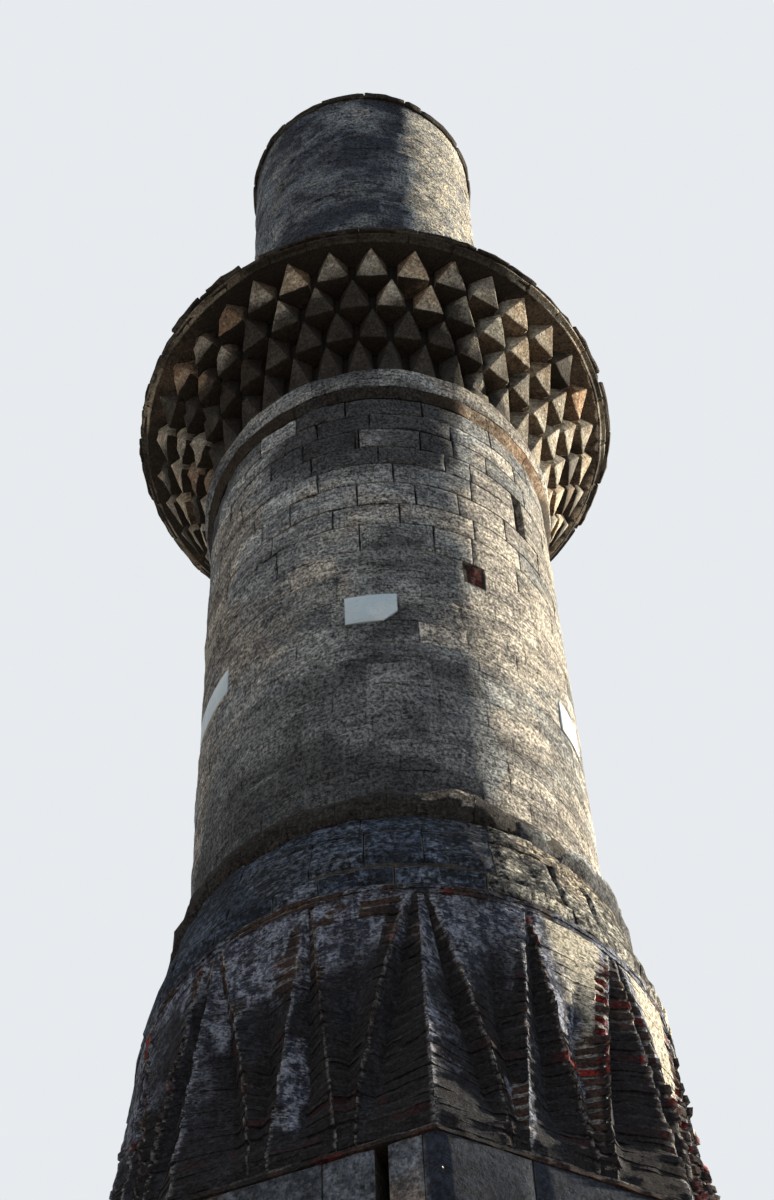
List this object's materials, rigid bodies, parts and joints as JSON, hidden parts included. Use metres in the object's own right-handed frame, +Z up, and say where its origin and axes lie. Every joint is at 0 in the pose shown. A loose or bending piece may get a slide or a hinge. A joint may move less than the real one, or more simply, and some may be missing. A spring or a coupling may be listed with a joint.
{
  "type": "minaret",
  "caption": "Stone and brick minaret: octagonal base, folded brick transition, round shaft, corbelled balcony without parapet, capped upper shaft.",
  "frame": {"origin": "on the tower's axis at ground level, on the underside of the plinth", "axes": "+Z up along the tower, -Y towards the base face with the slit, +Y towards both doors"},
  "size_m": [3.2996, 3.2978, 23.875],
  "materials": {
    "ashlar": null,
    "base_stone": "smooth blue-grey stone slabs",
    "brick": "red brick and lime mortar",
    "plastered_brick": "dark lichened plaster over brick courses",
    "dark_stone": "blue-black weathered stone",
    "corbel_stone": "worn carved limestone",
    "rim_stone": "dark broken edge stone"
  },
  "bodies": {
    "root": {"plinth": "base_stone", "base_wall_1_slit_below": "base_stone", "base_wall_1_slit_left": "base_stone", "base_wall_1_slit_right": "base_stone", "base_wall_2": "base_stone", "base_wall_3": "base_stone", "base_wall_4": "base_stone", "base_wall_5_door_left": "base_stone", "base_wall_5_door_over": "base_stone", "base_wall_5_door_right": "base_stone", "base_wall_6": "base_stone", "base_wall_7": "base_stone", "base_wall_8": "base_stone", "brick_string": "brick", "transition_1": "plastered_brick", "transition_2": "plastered_brick", "transition_3": "plastered_brick", "transition_4": "plastered_brick", "transition_5": "plastered_brick", "transition_6": "plastered_brick", "transition_7": "plastered_brick", "transition_8": "plastered_brick", "neck_bricks": "brick", "neck_fascia": "dark_stone", "dark_band": "dark_stone", "lower_roll": "ashlar", "shaft_wall_1_below_slit": "ashlar", "shaft_wall_1_slit_left": "ashlar", "shaft_wall_1_slit_right": "ashlar", "shaft_wall_1_above_slit": "ashlar", "shaft_wall_2": "ashlar", "shaft_wall_3": "ashlar", "shaft_wall_4": "ashlar", "shaft_wall_5": "ashlar", "upper_roll": "ashlar", "corbel_tier_1": "corbel_stone", "corbel_tier_2": "corbel_stone", "corbel_tier_3": "corbel_stone", "corbel_tier_4": "corbel_stone", "cornice": "corbel_stone", "balcony_slab": "rim_stone", "upper_wall_1": "ashlar", "upper_wall_2": "ashlar", "upper_wall_3": "ashlar", "upper_wall_4": "ashlar", "upper_wall_5": "ashlar", "upper_door_head": "ashlar", "lid": "rim_stone"}
  },
  "joints": []
}
